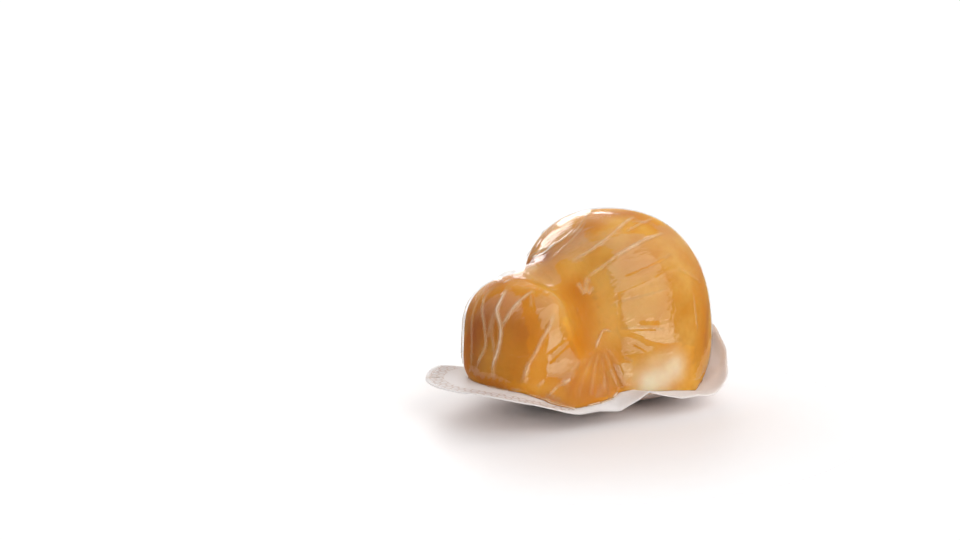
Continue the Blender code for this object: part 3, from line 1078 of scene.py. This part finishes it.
def fromSpot(add, place, centre, stretch=(1.0, 1.0)):
    # mm in plan from a spot of the print, and how far that is
    shift = [-middle * factor for middle, factor in zip(centre, stretch)]
    scale = [factor / mm for factor in stretch]
    flat = add("Mapping", {"Location": (*shift, 0), "Scale": (*scale, 0), "Vector": place})
    return flat, add("VectorMath", {"operation": "LENGTH", 0: flat}, "Value")


def dashes(add, flat, settings, *limits):
    # rows of plain dashes within the limits
    row = settings["row"]
    size = {"Brick Width": settings["dash"], "Row Height": row, "Mortar Size": row * printLook["gap"]}
    gaps = add("TexBrick", printLook["dashes"] | size | {"Vector": flat}, "Fac")
    return inside(add, *limits, (gaps, None, 0.5, printLook["softDash"]))


def dashRows(add, place, settings):
    # in a rectangle
    flat = fromSpot(add, place, settings["centre"])[0]
    away = add("VectorMath", {"operation": "ABSOLUTE", 0: flat})
    apart = add("SeparateXYZ", {0: away}).node.outputs
    limits = [(apart[k], None, reach, printLook["soft"]) for k, reach in enumerate(settings["reach"])]
    return dashes(add, flat, settings, *limits)


def edgeRows(add, place, settings):
    # along the pack's edge
    flat = fromSpot(add, place, steepSides["middle"])[0]
    apart = add("SeparateXYZ", {0: flat}).node.outputs
    turn = add("Math", {"operation": "ARCTAN2", 0: apart[1], 1: apart[0]})
    along = add("Math", {"operation": "MULTIPLY", 0: turn, 1: settings["radius"]})
    share = add("Attribute", {"attribute_name": "fromEdge"}, "Fac")
    inward = add("Math", {"operation": "MULTIPLY", 0: share, 1: settings["reach"]})
    unrolled = add("CombineXYZ", {0: along, 1: inward})
    return dashes(add, unrolled, settings, (inward, settings["from"], settings["to"], printLook["soft"]))


def printedColour(add, place, strength):
    soft, band, field, dots = (printLook[k] for k in ("soft", "ringBand", "blushField", "dots"))
    flat, reach = fromSpot(add, place, band["centre"])
    grid = {"voronoi_dimensions": "2D", "Scale": 1 / band["pitch"], "Randomness": 0.0}
    cells = add("TexVoronoi", grid | {"Vector": flat})
    blushReach = fromSpot(add, place, field["centre"], field["stretch"])[1]
    parts = [
        ("blush", "rest", inside(add, (blushReach, None, field["reach"], field["soft"]))),
        ("tan", "rings", inside(add, (cells, *band["line"], soft), (reach, band["from"], band["to"], soft))),
        ("tan", "rest", dashRows(add, place, printLook["bars"])),
        ("ink", "rest", dashRows(add, place, printLook["rows"])),
        ("ink", "lines", edgeRows(add, place, printLook["edgeLines"])),
    ]
    for name in ("green", "red"):
        away = fromSpot(add, place, dots[name])[1]
        parts.append((name, "rest", inside(add, (away, None, dots["reach"], soft))))
    colour = hexColour(printLook["film"])
    for name, kind, mask in parts:
        share = add("Math", {"operation": "MULTIPLY", 0: mask, 1: strength[kind]})
        colour = add("Mix", {"data_type": "RGBA", 0: share, 6: colour, 7: hexColour(printLook[name])}, 2)
    return colour


backingLook = {
    "crimpSize": 4.0 * mm,
    "crimpHeight": 0.12 * mm,
    "through": 0.5,  # of the light on it
}


def backingMaterial(name, strength):
    # milky white film: even and soft, it lets some light through, and the print shows through it faintly
    look = backingLook
    made, add, place = newMaterial(name)
    colour = printedColour(add, place, strength)
    crimp = add("TexNoise", {"Scale": 1 / look["crimpSize"], "Detail": 3.0, "Vector": place})
    rumple = add("Bump", {"Strength": 0.7, "Distance": look["crimpHeight"], "Height": crimp})
    satin = {"Roughness": 0.5, "IOR": 1.5, "Specular IOR Level": 0.15}
    sheet = add("BsdfPrincipled", satin | {"Base Color": colour, "Normal": rumple})
    through = add("BsdfTranslucent", {"Color": colour, "Normal": rumple})
    mix = add("MixShader", {0: look["through"], 1: sheet, 2: through})
    add("OutputMaterial", {"Surface": mix})
    return made


# the lamps, aimed at one spot: azimuth and elevation seen from the pack, with the camera at 0, distance
# and size in metres, radiance (1 shows as white), the rays that see it, and colour
aim = Vector((0.0, 0.0, 0.03))
panels = {
    "keyShine": (39, 21, 1.0, (1.2, 1.74), 1.2, "glossy", "f8ffe8"),
    "tableShine": (44, -21, 1.0, (1.0, 0.5), 1.5, "glossy", "f8ffe8"),
    "backShine": (180, -8, 1.5, (1.3, 0.75), 1.3, "glossy", "ffffff"),
    "notchShine": (-160, 23, 1.5, (1.2, 0.8), 5.5, "glossy", "ffffff"),
    "neckShine": (174, 46, 1.5, (0.45, 0.3), 5.5, "glossy", "ffffff"),
    "backLight": (-150, 42, 1.2, (0.9, 0.9), 1.35, "diffuse", "ffffff"),
    "keyLight": (40, 34, 1.2, (1.3, 1.3), 1.65, "diffuse", "ffffff"),
    "sideLight": (115, 28, 1.2, (0.7, 0.7), 2.5, "diffuse", "ffffff"),
}


def makePanel(name, azimuth, elevation, distance, size, radiance, sees, colour):
    right, _, back = cameraAxes()
    ahead = Vector((back.x, back.y, 0)).normalized()
    a, e = math.radians(azimuth), math.radians(elevation)
    way = (ahead * math.cos(a) + right * math.sin(a)) * math.cos(e) + Vector((0, 0, math.sin(e)))
    panel = addObject(name, bpy.data.lights.new(name, "AREA"))
    panel.data.shape = "RECTANGLE"
    panel.data.size, panel.data.size_y = size
    panel.data.energy = radiance * math.pi * size[0] * size[1]
    panel.data.color = hexColour(colour)[:3]
    panel.location = aim + way * distance
    panel.rotation_mode = "QUATERNION"
    panel.rotation_quaternion = way.to_track_quat("Z", "Y")
    panel.visible_camera = False
    panel.visible_diffuse = sees == "diffuse"
    panel.visible_glossy = sees == "glossy"


floorSettings = {
    "size": 6.0,
    "colour": "f8f3f2",
    "middle": (-0.012, -0.018, 0.0),
    "fade": (0.05, 0.125),  # metres from there, over which it burns out to white
}


def makeFloor():
    bpy.ops.mesh.primitive_plane_add(size=floorSettings["size"])
    floor = bpy.context.object
    floor.name = "floor"
    made, add, place = newMaterial("white acrylic table")
    paint = {"Base Color": hexColour(floorSettings["colour"]), "Roughness": 0.5, "Specular IOR Level": 0.2}
    top = add("BsdfPrincipled", paint)
    away = add("VectorMath", {"operation": "DISTANCE", 0: place, 1: floorSettings["middle"]}, "Value")
    burnt = add("MapRange", eased | dict(zip(ramp, floorSettings["fade"]), Value=away))
    seen = add("LightPath", output="Is Camera Ray")
    share = add("Math", {"operation": "MULTIPLY", 0: burnt, 1: seen})
    mix = add("MixShader", {0: share, 1: top, 2: add("BsdfTransparent")})
    add("OutputMaterial", {"Surface": mix})
    floor.data.materials.append(made)
    floor.visible_glossy = False


studio = {
    "room": 0.5,
    "background": 1.06,  # over 1, so that it stays white under the floor's fade
    "lean": 0.4,  # how far the white paper overhead hangs to the side away from the camera
    "paper": (0.1, 0.9, 0.07, 0.9),  # from the darker room to the paper, as the film mirrors them
}


def makeWorld():
    world = bpy.data.worlds.new("studio")
    bpy.context.scene.world = world
    world.use_nodes = True
    world.node_tree.nodes.clear()
    add = partial(addNode, world.node_tree)
    white = (1, 1, 1, 1)
    room = add("Background", {"Color": white, "Strength": studio["room"]})
    background = add("Background", {"Color": white, "Strength": studio["background"]})
    back = cameraAxes()[2]
    ahead = Vector((-back.x * studio["lean"], -back.y * studio["lean"], 1.0)).normalized()
    way = add("TexCoord", output="Generated")
    toward = add("VectorMath", {"operation": "DOT_PRODUCT", 0: way, 1: ahead}, "Value")
    level = add("MapRange", dict(zip(ramp, studio["paper"]), Value=toward))
    mirrored = add("Background", {"Color": white, "Strength": level})
    path = add("LightPath").node.outputs
    shown = add("MixShader", {0: path["Is Glossy Ray"], 1: room, 2: mirrored})
    mix = add("MixShader", {0: path["Is Camera Ray"], 1: shown, 2: background})
    add("OutputWorld", {"Surface": mix})


bpy.context.scene.view_settings.view_transform = "Standard"
makeCamera()
makeWorld()
makeFloor()
for panelName, panelSettings in panels.items():
    makePanel(panelName, *panelSettings)

cheese = makeCheese()
film, rimLines = makeFilm()
backing = makeBacking(rimLines)
settleFoot(cheese, backing)
cheese.data.materials.append(cheeseMaterial())
film.data.materials.append(filmMaterial())
for piece, slotName, nodeName in (
    (cheese, "smoked_cheese", "film_pocket"),
    (film, "clear_film", "film_pocket"),
    (backing, "backing_film", "backing_film"),
):
    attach(piece, "root")
    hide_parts(nodeName)
